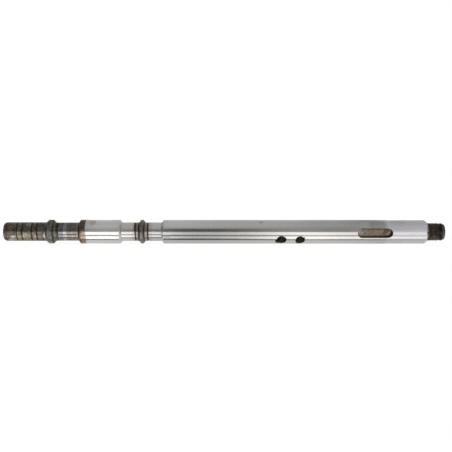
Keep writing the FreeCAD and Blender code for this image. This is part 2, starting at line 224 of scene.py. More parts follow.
def slotCutter(spec):
    # the milling cutter's path, flared at the bar's surface and rounded at its floor
    bar, half = cutters["barRadius"], spec["width"] / 2
    right = spec["rightCentre"] - shaft["length"] / 2
    left = right + 2 * half - spec["run"]
    steps = spec["endSteps"]

    def ring(grow, level):
        points = []
        for centre, turn in ((right, -90), (left, 90)):
            for k in range(steps + 1):
                a = math.radians(turn + 180 * k / steps)
                x, z = centre + (half + grow) * math.cos(a), (half + grow) * math.sin(a)
                points.append((x, level(z), z))
        return points

    def surface(sink):
        return lambda z: -math.sqrt(bar * bar - z * z) + sink

    lip, corner = spec["break"], spec["floorRadius"]
    floor = -bar + spec["depth"]
    rings = [ring(lip + cutters["flare"], lambda z: -bar - cutters["proud"])]
    for grow, sink in cutters["edgeSteps"]:
        rings.append(ring(lip * grow, surface(lip * sink)))
    for i in range(spec["floorSteps"] + 1):
        a = math.radians(90 * i / spec["floorSteps"])
        rings.append(ring(corner * (math.cos(a) - 1), lambda z, a=a: floor - corner + corner * math.sin(a)))
    return loft("slotCutter", rings)


def drillCutter(spec):
    # the point of the drill that opened the slot's right end
    drill = spec["drill"]
    x = spec["rightCentre"] - shaft["length"] / 2
    floor = -cutters["barRadius"] + spec["depth"]
    tip = drill["radius"] / math.tan(math.radians(drill["angle"] / 2))
    rings = []
    # rings as shares of the drill's radius, the first of them 1 mm above the floor
    for share, above in ((1.0, 1.0), (1.0, 0.0), (0.5, 0.0), (0.01, 0.0)):
        radius = drill["radius"] * share
        y = floor - above + tip * (1 - share)
        turns = [2 * math.pi * k / drill["steps"] for k in range(drill["steps"])]
        rings.append([(x + radius * math.cos(a), y, radius * math.sin(a)) for a in turns])
    return loft("drillCutter", rings)


def bakeModifiers(item):
    # the mesh becomes what its modifiers make of it
    bpy.context.view_layer.update()
    seen = item.evaluated_get(bpy.context.evaluated_depsgraph_get())
    data = bpy.data.meshes.new_from_object(seen)
    item.modifiers.clear()
    item.data = data


def cut(target, cutter, material):
    cutter.data.materials.append(material)
    step = target.modifiers.new(cutter.name, "BOOLEAN")
    step.operation = "DIFFERENCE"
    step.solver = "EXACT"
    step.object = cutter
    step.material_mode = "TRANSFER"
    bakeModifiers(target)
    bpy.data.objects.remove(cutter)


steelFinish = bpy.data.materials.new("shaftSteel")
slotFinish = bpy.data.materials.new("slotSteel")
holeFinish = bpy.data.materials.new("holeSteel")
body.data.materials.append(steelFinish)
for station, lip in pinHoles["places"]:
    cut(body, holeCutter(pinHoles, station, lip), holeFinish)
cut(body, slotCutter(guideSlot), slotFinish)
cut(body, drillCutter(guideSlot), slotFinish)
print("cuts made:", len(body.data.polygons), "faces")


def steadyNormals(item, spec):
    # normals follow the large faces, so that the long cylinders reflect as true cylinders
    item.data.shade_smooth()
    item.data.set_sharp_from_angle(angle=math.radians(spec["sharpAngle"]))
    step = item.modifiers.new("steadyNormals", "WEIGHTED_NORMAL")
    step.keep_sharp = True
    step.weight = spec["normalWeight"]
    bakeModifiers(item)


steadyNormals(body, shaft)
body.data.name = "selectorShaft"

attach(body, "root")
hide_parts("selector_shaft")


number = "NodeSocketFloat"
vector = "NodeSocketVector"

# noises of the finishes, with their scale per mm
patterns = {
    "Mottle": {"Scale": 0.30, "Detail": 6.0, "Roughness": 0.66, "Distortion": 0.5},
    "Specks": {"Scale": 1.9, "Detail": 4.0, "Roughness": 0.7},
    "Hue": {"Scale": 0.15, "Detail": 3.0},
    "Wander": {"Scale": 0.35, "Detail": 3.0, "Roughness": 0.55},
    "Ragged": {"Scale": 0.55, "Detail": 4.0, "Roughness": 0.6},
    "Worn": {"Scale": 0.8, "Detail": 4.0, "Roughness": 0.65},
    "Grain": {"Scale": 1.0, "Roughness": 0.68},
}
# values of a noise between which its effect rises from nothing to full
rises = {"Mottle": (0.39, 0.61), "Specks": (0.42, 0.72), "Hue": (0.40, 0.60), "Worn": (0.42, 0.62)}
# factors that bring the swing of a noise to about one
swings = {"Wander": 2.5, "Ragged": 3.0}


def link(tree, source, target):
    tree.links.new(source, target)


def node(tree, kind, **values):
    # a node with its properties and, by name or as i0, i1 ..., its plain or linked inputs
    made = tree.nodes.new(kind)
    for key, value in values.items():
        if key in made.bl_rna.properties:
            setattr(made, key, value)
            continue
        numbered = key[0] == "i" and key[1:].isdigit()
        socket = made.inputs[int(key[1:])] if numbered else made.inputs[key.replace("_", " ")]
        if isinstance(value, bpy.types.NodeSocket):
            link(tree, value, socket)
        else:
            socket.default_value = value
    return made


def maths(tree, operation, a, b=0.5, clamp=False):
    return node(tree, "ShaderNodeMath", operation=operation, use_clamp=clamp, i0=a, i1=b).outputs[0]


def plus(tree, a, b, clamp=False):
    return maths(tree, "ADD", a, b, clamp)


def minus(tree, a, b, clamp=False):
    return maths(tree, "SUBTRACT", a, b, clamp)


def times(tree, a, b):
    return maths(tree, "MULTIPLY", a, b)


def vectorMaths(tree, operation, a, **more):
    return node(tree, "ShaderNodeVectorMath", operation=operation, i0=a, **more).outputs


def noise(tree, at, name, **more):
    return node(tree, "ShaderNodeTexNoise", **{"Vector": at, **patterns[name], **more}).outputs[0]


def blend(tree, share, a, b, mode="MIX"):
    made = tree.nodes.new("ShaderNodeMix")
    made.data_type = "RGBA"
    made.blend_type = mode
    for index, value in ((0, share), (6, a), (7, b)):
        if isinstance(value, bpy.types.NodeSocket):
            link(tree, value, made.inputs[index])
        else:
            made.inputs[index].default_value = value
    return made.outputs[2]


def ramp(tree, value, low, high, atLow=0.0, atHigh=1.0, kind="SMOOTHSTEP"):
    return node(tree, "ShaderNodeMapRange", interpolation_type=kind, Value=value,
                i1=low, i2=high, i3=atLow, i4=atHigh).outputs[0]


def newGroup(name, inputs, outputs):
    # the group, and inside it the sockets that it is given and those that it makes
    group = bpy.data.node_groups.new(name, "ShaderNodeTree")
    for label, kind, value in inputs:
        socket = group.interface.new_socket(label, in_out="INPUT", socket_type=kind)
        if value is not None:
            socket.default_value = value
    for label, kind in outputs:
        group.interface.new_socket(label, in_out="OUTPUT", socket_type=kind)
    return group, group.nodes.new("NodeGroupInput").outputs, group.nodes.new("NodeGroupOutput").inputs


def place(tree, group, **values):
    return node(tree, "ShaderNodeGroup", node_tree=group, **values)


def emptyTree(owner):
    owner.use_nodes = True
    owner.node_tree.nodes.clear()
    return owner.node_tree


def show(tree, shader, kind="ShaderNodeOutputMaterial"):
    link(tree, shader.outputs[0], node(tree, kind).inputs[0])


def tone(r, g, b):
    return (r, g, b, 1.0)


def placeGroup():
    # station along the shaft in mm, turn about it in degrees (0 in front, 90 on top), distance from its axis,
    # the point itself in mm and its direction away from the axis
    group, _, made = newGroup("shaftPlace", [], [
        ("Station", number), ("Turn", number), ("Radius", number), ("Point", vector), ("Around", vector)])
    point = vectorMaths(group, "SCALE", node(group, "ShaderNodeTexCoord").outputs["Object"], Scale=1 / mm)[0]
    parts = node(group, "ShaderNodeSeparateXYZ", i0=point).outputs
    flat = node(group, "ShaderNodeCombineXYZ", X=0.0, Y=parts[1], Z=parts[2]).outputs[0]
    turn = maths(group, "ARCTAN2", parts[2], times(group, parts[1], -1.0))
    link(group, plus(group, parts[0], shaft["length"] / 2), made["Station"])
    link(group, times(group, turn, math.degrees(1)), made["Turn"])
    link(group, vectorMaths(group, "LENGTH", flat)[1], made["Radius"])
    link(group, point, made["Point"])
    link(group, vectorMaths(group, "NORMALIZE", flat)[0], made["Around"])
    return group


def bandGroup():
    # 1 between two stations, with a soft edge that a slow noise makes uneven
    group, given, made = newGroup("stationBand", [
        ("Station", number, 0.0), ("Shift", number, 0.0), ("Start", number, 0.0), ("End", number, 1.0),
        ("Soft", number, 0.5), ("Wander", number, 0.3), ("Point", vector, None),
    ], [("Band", number)])
    slow = minus(group, noise(group, given["Point"], "Wander"), 0.5)
    drift = times(group, times(group, slow, given["Wander"]), swings["Wander"])
    station = plus(group, plus(group, given["Station"], drift), given["Shift"])
    rise = maths(group, "DIVIDE", minus(group, station, given["Start"]), given["Soft"])
    fall = maths(group, "DIVIDE", minus(group, given["End"], station), given["Soft"])
    rise, fall = plus(group, rise, 0.5, clamp=True), plus(group, fall, 0.5, clamp=True)
    link(group, ramp(group, maths(group, "MINIMUM", rise, fall), 0.0, 1.0), made["Band"])
    return group


def grainGroup():
    # fine rings left by the tool or the wheel, and faint scratches along the shaft
    group, given, made = newGroup("latheGrain", [
        ("Station", number, 0.0), ("Around", vector, None), ("Pitch", number, 3.0),
    ], [("Rings", number), ("Scratches", number)])
    # how close the noise lies along the shaft and around it, and its detail
    kinds = (("Rings", given["Pitch"], 0.15, 4.0), ("Scratches", 0.035, 24.0, 5.0))
    for label, stretch, wrap, detail in kinds:
        lengthwise = node(group, "ShaderNodeCombineXYZ", X=times(group, given["Station"], stretch)).outputs[0]
        turned = vectorMaths(group, "SCALE", given["Around"], Scale=wrap)[0]
        spot = vectorMaths(group, "ADD", lengthwise, i1=turned)[0]
        link(group, noise(group, spot, "Grain", Detail=detail), made[label])
    return group


def scaleGroup():
    # heat scale and old oil: a broad mottle, small specks, a slow change of hue, and the height of mottle
    # and specks
    group, given, made = newGroup("heatScale", [("Point", vector, None), ("Size", number, 1.0)], [
        ("Mottle", number), ("Specks", number), ("Hue", number), ("Height", number)])
    noises = {}
    for label in ("Mottle", "Specks", "Hue"):
        scale = times(group, given["Size"], patterns[label]["Scale"])
        noises[label] = noise(group, given["Point"], label, Scale=scale)
        link(group, ramp(group, noises[label], *rises[label]), made[label])
    broad, fine = times(group, noises["Mottle"], 1.5), times(group, noises["Specks"], 0.5)
    link(group, plus(group, broad, fine), made["Height"])
    return group


def stainAndPaintedLightGroup():
    # a patch with ragged edges about one station and turn, used for stains and for painted light and shade
    group, given, made = newGroup("stainAndPaintedLight", [
        ("Station", number, 0.0), ("Turn", number, 0.0), ("Point", vector, None), ("At", number, 0.0),
        ("Facing", number, 0.0), ("Length", number, 1.0), ("Spread", number, 10.0), ("Ragged", number, 0.5),
    ], [("Patch", number)])
    squares = []
    for here, middle, half in (("Station", "At", "Length"), ("Turn", "Facing", "Spread")):
        off = maths(group, "DIVIDE", minus(group, given[here], given[middle]), given[half])
        squares.append(maths(group, "POWER", maths(group, "ABSOLUTE", off), 2.0))
    ragged = minus(group, noise(group, given["Point"], "Ragged"), 0.5)
    ragged = times(group, ragged, times(group, given["Ragged"], swings["Ragged"]))
    reach = plus(group, maths(group, "SQRT", plus(group, *squares)), ragged)
    whole, gone = 0.65, 1.2      # shares of its half sizes where a patch is whole and where it has ended
    link(group, ramp(group, reach, whole, gone, 1.0, 0.0), made["Patch"])
    return group


def rubGroup():
    # steel rubbed pale along an edge of the turned outline
    group, given, made = newGroup("edgeRub", [
        ("Station", number, 0.0), ("Point", vector, None), ("Edge", number, 0.0), ("Width", number, 0.3),
    ], [("Rub", number)])
    off = maths(group, "ABSOLUTE", minus(group, given["Station"], given["Edge"]))
    near = minus(group, 1.0, maths(group, "DIVIDE", off, given["Width"]), clamp=True)
    worn = ramp(group, noise(group, given["Point"], "Worn"), *rises["Worn"])
    full = 0.6                   # how near to the edge the rub is full
    link(group, times(group, ramp(group, near, 0.0, full), worn), made["Rub"])
    return group


shaftPlace, stationBand, latheGrain = placeGroup(), bandGroup(), grainGroup()
heatScale, stainAndPaintedLight, edgeRub = scaleGroup(), stainAndPaintedLightGroup(), rubGroup()

# tone of the painted shadow at the pin holes' edges
pinShadowTone = (tone(0.030, 0.027, 0.023), (0.5, 0.4, 0.8))
steel = {
    "bare": tone(0.62, 0.62, 0.612),
    "bareSpread": (0.95, 1.03),              # how far scratches darken and lighten it
    "ground": (0.0, 0.14, 1.0),              # how scaly, how rough, how metallic
    "pitch": 3.2,                            # tool rings per mm
    "ringTone": (0.94, 1.05),                # how far tool rings darken and lighten
    "ringRange": (0.3, 0.7),                 # values of their noise that give the darkest and the palest
    # bumps of tool rings and of scale, with their height in metres, and what each adds to the roughness
    "ringBump": {"Strength": 0.05, "Distance": 0.00003},
    "scaleBump": {"Strength": 0.30, "Distance": 0.0002},
    "rougher": {"Rings": 0.07, "Scratches": 0.05, "Specks": 0.08},
    # scaled steel: greenish and mauve, darker and paler patches, and dark specks
    "scaleHues": (tone(0.96, 1.02, 0.96), tone(1.05, 0.98, 1.0)),
    "scale": {"dark": tone(0.52, 0.51, 0.50), "light": tone(1.42, 1.40, 1.36), "specks": 0.35},
    # finishes along the shaft, a few of them painted light or shade: start and end station, softness, wander,
    # cover, colour, scaly/rough/metallic
    "zones": [
        ("leftStub", -2.0, 43.7, 0.4, 0.0, 1.0, tone(0.150, 0.130, 0.105), (1.0, 0.34, 0.86)),
        ("noseRimLeft", -2.0, 2.4, 0.5, 0.2, 0.8, tone(0.10, 0.085, 0.07), (0.8, 0.38, 0.8)),
        ("stubRoot", 37.6, 43.9, 1.2, 0.5, 0.85, tone(0.118, 0.101, 0.084), (1.0, 0.34, 0.86)),
        ("collar", 43.7, 51.2, 0.4, 0.1, 1.0, tone(0.168, 0.155, 0.147), (0.8, 0.36, 0.9)),
        ("collarEdgeDark", 50.9, 52.7, 0.5, 0.15, 1.0, tone(0.068, 0.060, 0.048), (0.8, 0.40, 0.85)),
        ("collarFlank", 52.6, 54.2, 0.5, 0.2, 1.0, tone(0.20, 0.185, 0.165), (0.7, 0.34, 0.95)),
        # painted shade in the corner at the collar's root
        ("collarRoot", 54.2, 57.9, 0.7, 0.3, 1.0, tone(0.066, 0.057, 0.047), (0.8, 0.36, 0.85)),
        ("neckBlue", 58.1, 62.7, 0.8, 0.3, 1.0, tone(0.180, 0.178, 0.186), (0.1, 0.14, 1.0)),
        ("neckStraw", 62.7, 65.9, 0.9, 0.35, 1.0, tone(0.375, 0.330, 0.300), (0.05, 0.15, 1.0)),
        ("neckDark", 65.8, 71.8, 0.9, 0.35, 1.0, tone(0.180, 0.178, 0.174), (0.2, 0.18, 1.0)),
        ("neckBrown", 71.6, 76.4, 1.4, 0.5, 1.0, tone(0.215, 0.185, 0.158), (0.3, 0.21, 1.0)),
        ("neckKhaki", 76.2, 77.8, 0.6, 0.3, 1.0, tone(0.22, 0.20, 0.165), (0.4, 0.3, 0.95)),
        ("flankScale", 77.8, 85.7, 0.7, 0.5, 1.0, tone(0.125, 0.098, 0.082), (0.6, 0.30, 0.95)),
        # painted light: the journal's shoulder paler than the bare steel, as if lit
        ("journalShoulder", 120.9, 123.0, 0.3, 0.1, 1.0, tone(0.84, 0.83, 0.81), (0.0, 0.5, 1.0)),
        ("neckTwo", 122.6, 165.2, 0.6, 0.1, 0.8, tone(0.57, 0.565, 0.55), (0.0, 0.2, 1.0)),
        ("ringStrawLeft", 134.4, 137.3, 1.2, 0.2, 0.9, tone(0.53, 0.465, 0.385), (0.0, 0.2, 1.0)),
        ("ringLandLeft", 137.0, 141.0, 0.5, 0.1, 1.0, tone(0.27, 0.252, 0.258), (0.1, 0.26, 1.0)),
        ("grooveLeft", 136.9, 138.4, 0.4, 0.1, 1.0, tone(0.060, 0.052, 0.044), (0.6, 0.36, 0.9)),
        # painted shade on the ring's left flank and foot
        ("ringFootLeft", 140.3, 142.2, 0.5, 0.1, 1.0, tone(0.068, 0.062, 0.056), (0.7, 0.36, 0.9)),
        ("ring", 142.1, 146.0, 0.4, 0.1, 1.0, tone(0.185, 0.175, 0.157), (0.8, 0.34, 0.9)),
        # painted shade on the ring's right flank and foot
        ("ringFootRight", 146.0, 147.5, 0.5, 0.1, 1.0, tone(0.078, 0.071, 0.064), (0.7, 0.36, 0.9)),
        ("ringLandRight", 147.6, 149.9, 0.4, 0.1, 1.0, tone(0.260, 0.232, 0.220), (0.1, 0.26, 1.0)),
        ("grooveRight", 149.7, 151.6, 0.5, 0.1, 1.0, tone(0.078, 0.064, 0.052), (0.6, 0.36, 0.9)),
        ("ringStrawRight", 151.5, 154.6, 1.4, 0.25, 0.9, tone(0.53, 0.465, 0.39), (0.0, 0.2, 1.0)),
        ("seat", 399.6, 441.0, 0.35, 0.25, 1.0, tone(0.705, 0.710, 0.735), (0.0, 0.24, 0.94)),
        # painted light: the seat's shoulder paler than the bare steel, as if lit
        ("shoulder", 440.2, 442.3, 0.4, 0.1, 1.0, tone(0.95, 0.94, 0.99), (0.1, 0.50, 1.0)),
        ("rightStub", 442.2, 462.0, 0.3, 0.1, 1.0, tone(0.049, 0.039, 0.031), (1.0, 0.36, 0.86)),
        # painted shade in the corner at the foot of the shoulder
        ("shoulderFoot", 442.4, 445.0, 0.5, 0.1, 0.6, tone(0.024, 0.021, 0.018), (0.8, 0.4, 0.85)),
        ("wireGroove", 453.6, 457.2, 0.6, 0.1, 0.85, tone(0.016, 0.014, 0.012), (0.8, 0.4, 0.85)),
        ("noseRimRight", 458.0, 462.0, 0.5, 0.1, 0.9, tone(0.12, 0.122, 0.112), (0.6, 0.36, 0.95)),
    ],
    "seatBow": 2.2,                          # how far the seat's grinding reaches over the bar on top
    # dark lines at the nose, the collar and in the ring marks: station, half width, softness, cover
    "markLines": [
        (3.45, 0.55, 0.5, 0.95), (44.9, 0.35, 0.4, 0.5), (14.2, 0.65, 0.5, 0.97), (19.8, 0.65, 0.6, 0.95),
        (29.7, 0.8, 0.8, 0.9), (35.1, 0.9, 1.0, 0.85),
    ],
    "markLean": 0.1,                         # how far they lean along the shaft towards the top
    "markWander": 0.15,
    "markTone": tone(0.030, 0.026, 0.022),
    # patches, stains and painted light and shade alike: station, turn, half length, half spread in degrees,
    # ragged, cover, colour, scaly/rough/metallic
    "patches": [
        ("stubOlive", 26.8, 58.0, 3.2, 18.0, 0.5, 0.9, tone(0.34, 0.33, 0.28), (0.5, 0.34, 0.9)),
        # painted light: the stub paler and tan underneath, as if lit from below
        ("stubUnderPaintedLight", 22.0, -50.0, 18.5, 50.0, 0.4, 0.85, tone(0.29, 0.258, 0.215), (0.9, 0.34, 0.86)),
        # warm heat scale, paler on its lower front side: a painted highlight
        ("warmScalePaintedHighlight", 83.9, -24.0, 3.0, 46.0, 0.3, 0.9, tone(0.31, 0.255, 0.20), (0.2, 0.24, 1.0)),
        # painted light: the top of the stub paler
        ("stubTopPaintedLight", 24.0, 80.0, 24.0, 24.0, 0.4, 0.6, tone(0.27, 0.265, 0.235), (0.6, 0.34, 0.9)),
        ("neckTopShade", 72.4, 40.0, 5.4, 32.0, 0.3, 0.5, tone(0.12, 0.108, 0.097), (0.2, 0.2, 1.0)),
        ("barShade", 389.5, 42.0, 9.5, 38.0, 0.2, 0.62, tone(0.36, 0.36, 0.345), (0.0, 0.15, 1.0)),
        ("neckShade", 61.0, -26.0, 4.5, 11.0, 0.3, 0.6, tone(0.13, 0.135, 0.145), (0.15, 0.18, 1.0)),
        # painted light: the collar paler underneath
        ("collarUnderPaintedLight", 49.2, -66.0, 2.6, 22.0, 0.4, 0.7, tone(0.30, 0.295, 0.28), (0.5, 0.34, 0.95)),
        # painted highlight: the right land paler on its lower front
        ("ringLandPaintedHighlight", 148.5, -24.0, 1.4, 46.0, 0.2, 0.75, tone(0.43, 0.38, 0.36), (0.1, 0.26, 1.0)),
        # painted light: the ring paler underneath
        ("ringUnderPaintedLight", 144.0, -66.0, 2.6, 32.0, 0.2, 0.75, tone(0.36, 0.345, 0.32), (0.6, 0.34, 0.95)),
        ("rootGlint", 43.3, -24.0, 1.4, 28.0, 0.4, 0.8, tone(0.42, 0.40, 0.37), (0.5, 0.34, 0.9)),
        # painted reflection: a dark band along the stub a little above its middle
        ("stubPaintedDarkBand", 24.0, 12.0, 20.0, 7.0, 0.2, 0.45, tone(0.09, 0.075, 0.06), (0.9, 0.36, 0.86)),
        # painted reflection: a dark line along the neck just below its middle
        ("neckPaintedDarkLine", 66.0, -11.0, 9.5, 4.0, 0.15, 0.45, tone(0.13, 0.12, 0.112), (0.1, 0.16, 1.0)),
        # painted shadow beside the pin holes' edges
        ("pinShadowUpper", 293.9, -27.0, 0.9, 7.0, 0.3, 0.9, *pinShadowTone),
        ("pinShadowUpperRight", 313.3, -25.0, 0.8, 6.0, 0.3, 0.9, *pinShadowTone),
        # painted shade on the upper side of the left groove
        ("grooveTopPaintedShade", 136.9, 48.0, 0.9, 54.0, 0.2, 0.9, tone(0.070, 0.060, 0.042), (0.4, 0.3, 0.95)),
        # painted shade: the collar's root darker on top
        ("rootTopPaintedShade", 56.0, 52.0, 2.6, 22.0, 0.3, 0.7, tone(0.030, 0.027, 0.022), (0.8, 0.36, 0.85)),
        # painted light: the collar's root paler underneath
        ("rootLowPaintedLight", 55.7, -46.0, 2.0, 18.0, 0.3, 0.8, tone(0.155, 0.145, 0.13), (0.7, 0.34, 0.9)),
        ("neckTwoGlint", 127.6, -38.0, 4.4, 9.0, 0.2, 0.7, tone(0.74, 0.73, 0.71), (0.0, 0.2, 1.0)),
        ("barStartShade", 169.6, -19.0, 5.0, 9.0, 0.3, 0.65, tone(0.42, 0.415, 0.41), (0.1, 0.16, 1.0)),
        # painted shade at the foot of the shoulder, below and on top
        ("footLowPaintedShade", 442.2, -50.0, 0.9, 26.0, 0.2, 0.9, tone(0.030, 0.027, 0.023), (0.8, 0.4, 0.85)),
        ("footTopPaintedShade", 442.2, 74.0, 0.9, 24.0, 0.2, 0.9, tone(0.030, 0.027, 0.023), (0.8, 0.4, 0.85)),
        # painted shadow below the pin holes' edges
        ("pinShadowFoot", 284.6, -42.0, 1.6, 12.0, 0.25, 0.9, *pinShadowTone),
        ("pinShadowLeft", 285.3, -53.0, 1.5, 8.0, 0.4, 0.9, *pinShadowTone),
        ("pinShadowRight", 307.8, -63.0, 3.6, 8.0, 0.3, 0.85, tone(0.035, 0.031, 0.026), (0.5, 0.4, 0.8)),
        ("stubShade", 447.5, -3.0, 7.0, 16.0, 0.4, 0.75, tone(0.020, 0.018, 0.016), (0.9, 0.36, 0.86)),
        # painted light: the nose paler on its lower front
        ("noseUnderPaintedLight", 9.0, -48.0, 3.9, 26.0, 0.3, 0.85, tone(0.42, 0.41, 0.385), (0.6, 0.32, 0.9)),
        ("noseShade", 8.2, -6.0, 5.4, 12.0, 0.4, 0.65, tone(0.085, 0.070, 0.055), (0.9, 0.36, 0.86)),
        ("journalSmudge", 93.4, 60.0, 3.4, 18.0, 0.6, 0.45, tone(0.38, 0.37, 0.355), (0.3, 0.26, 1.0)),
        ("barSmudge", 268.3, 60.0, 2.4, 9.0, 0.6, 0.6, tone(0.33, 0.33, 0.32), (0.2, 0.24, 1.0)),
        ("seatMottle", 411.0, 60.0, 8.0, 20.0, 1.3, 0.4, tone(0.52, 0.53, 0.56), (0.2, 0.34, 0.95)),
        ("seatMottleLow", 412.0, -66.0, 5.0, 16.0, 1.2, 0.35, tone(0.50, 0.51, 0.53), (0.2, 0.34, 0.95)),
        # rust, paler underneath: rust tint with painted light from below
        ("stubRustPaintedLight", 449.0, -42.0, 5.0, 28.0, 0.5, 0.85, tone(0.118, 0.090, 0.068), (1.0, 0.4, 0.8)),
        ("stubBrown", 447.6, 34.0, 3.2, 18.0, 0.6, 0.8, tone(0.078, 0.050, 0.036), (1.0, 0.4, 0.8)),
        ("backSmear", 330.0, 165.0, 26.0, 30.0, 1.4, 0.25, tone(0.42, 0.41, 0.39), (0.2, 0.26, 1.0)),
        ("backSmearTwo", 214.0, -150.0, 20.0, 24.0, 1.4, 0.22, tone(0.44, 0.43, 0.41), (0.2, 0.26, 1.0)),
    ],
    # rubbed edges: station and half width
    "rubbedEdges": [
        (1.4, 0.45), (46.5, 0.3), (51.1, 0.4), (142.8, 0.35), (145.0, 0.35), (443.4, 0.35), (457.9, 0.45),
    ],
    "rubTone": tone(0.40, 0.385, 0.36),
    "rubCover": 0.55,
}


def layOver(tree, coat, mask, cover, colour, traits):
    # a finish laid over the coat's colour and traits where its mask is
    share = times(tree, mask, cover)
    return blend(tree, share, coat[0], colour), blend(tree, share, coat[1], tone(*traits))


def mottled(tree, scale, colour, spec):
    # darker and paler patches of heat scale, with dark specks
    dark = blend(tree, 1.0, colour, spec["dark"], "MULTIPLY")
    light = blend(tree, 1.0, colour, spec["light"], "MULTIPLY")
    patched = blend(tree, scale["Mottle"], dark, light)
    return blend(tree, times(tree, scale["Specks"], spec["specks"]), patched, dark)


def finishTurnedSteel(material, spec):
    tree = emptyTree(material)
    where = place(tree, shaftPlace).outputs
    station, turn, point = where["Station"], where["Turn"], where["Point"]
    grain = place(tree, latheGrain, Station=station, Around=where["Around"], Pitch=spec["pitch"]).outputs
    scale = place(tree, heatScale, Point=point, Size=1.0).outputs
    angle = maths(tree, "RADIANS", turn)
    bow = times(tree, minus(tree, 1.0, maths(tree, "COSINE", angle)), spec["seatBow"])
    lean = times(tree, maths(tree, "SINE", angle), spec["markLean"])

    dull, pale = [tone(*[c * share for c in spec["bare"][:3]]) for share in spec["bareSpread"]]
    coat = (blend(tree, grain["Scratches"], dull, pale), tone(*spec["ground"]))
    for name, start, end, soft, wander, cover, colour, traits in spec["zones"]:
        band = place(tree, stationBand, Station=station, Start=start, End=end, Soft=soft, Wander=wander,
                     Point=point)
        band.label = name
        if name == "seat":
            link(tree, bow, band.inputs["Shift"])
        coat = layOver(tree, coat, band.outputs[0], cover, colour, traits)
    for name, at, facing, length, spread, ragged, cover, colour, traits in spec["patches"]:
        patch = place(tree, stainAndPaintedLight, Station=station, Turn=turn, Point=point, At=at, Facing=facing,
                      Length=length, Spread=spread, Ragged=ragged)
        patch.label = name
        coat = layOver(tree, coat, patch.outputs[0], cover, colour, traits)
    colour, traits = coat
    for at, half, soft, cover in spec["markLines"]:
        band = place(tree, stationBand, Station=station, Shift=lean, Start=at - half, End=at + half,
                     Soft=soft, Wander=spec["markWander"], Point=point)
        colour = blend(tree, times(tree, band.outputs[0], cover), colour, spec["markTone"])
    split = node(tree, "ShaderNodeSeparateColor", i0=traits).outputs
    scaly, rough, metal = split[0], split[1], split[2]

    hued = blend(tree, 1.0, colour, blend(tree, scale["Hue"], *spec["scaleHues"]), "MULTIPLY")
    colour = blend(tree, scaly, colour, mottled(tree, scale, hued, spec["scale"]))
    rub = 0.0
    for edge, width in spec["rubbedEdges"]:
        here = place(tree, edgeRub, Station=station, Point=point, Edge=edge, Width=width)
        rub = maths(tree, "MAXIMUM", here.outputs[0], rub)
    colour = blend(tree, times(tree, rub, spec["rubCover"]), colour, spec["rubTone"])
    rings = ramp(tree, grain["Rings"], *spec["ringRange"], *spec["ringTone"], kind="LINEAR")
    rings = node(tree, "ShaderNodeCombineColor", i0=rings, i1=rings, i2=rings).outputs[0]
    colour = blend(tree, 1.0, colour, rings, "MULTIPLY")

    rougher = spec["rougher"]
    for label in ("Rings", "Scratches"):
        rough = plus(tree, rough, times(tree, minus(tree, grain[label], 0.5), rougher[label]))
    specks = times(tree, scaly, times(tree, scale["Specks"], rougher["Specks"]))
    rough = plus(tree, rough, specks, clamp=True)

    fine = node(tree, "ShaderNodeBump", Height=grain["Rings"], **spec["ringBump"])
    coarse = node(tree, "ShaderNodeBump", Height=times(tree, scale["Height"], scaly), Normal=fine.outputs[0],
                  **spec["scaleBump"])
    show(tree, node(tree, "ShaderNodeBsdfPrincipled", Base_Color=colour, Roughness=rough, Metallic=metal,
                    Normal=coarse.outputs[0]))


finishTurnedSteel(steelFinish, steel)

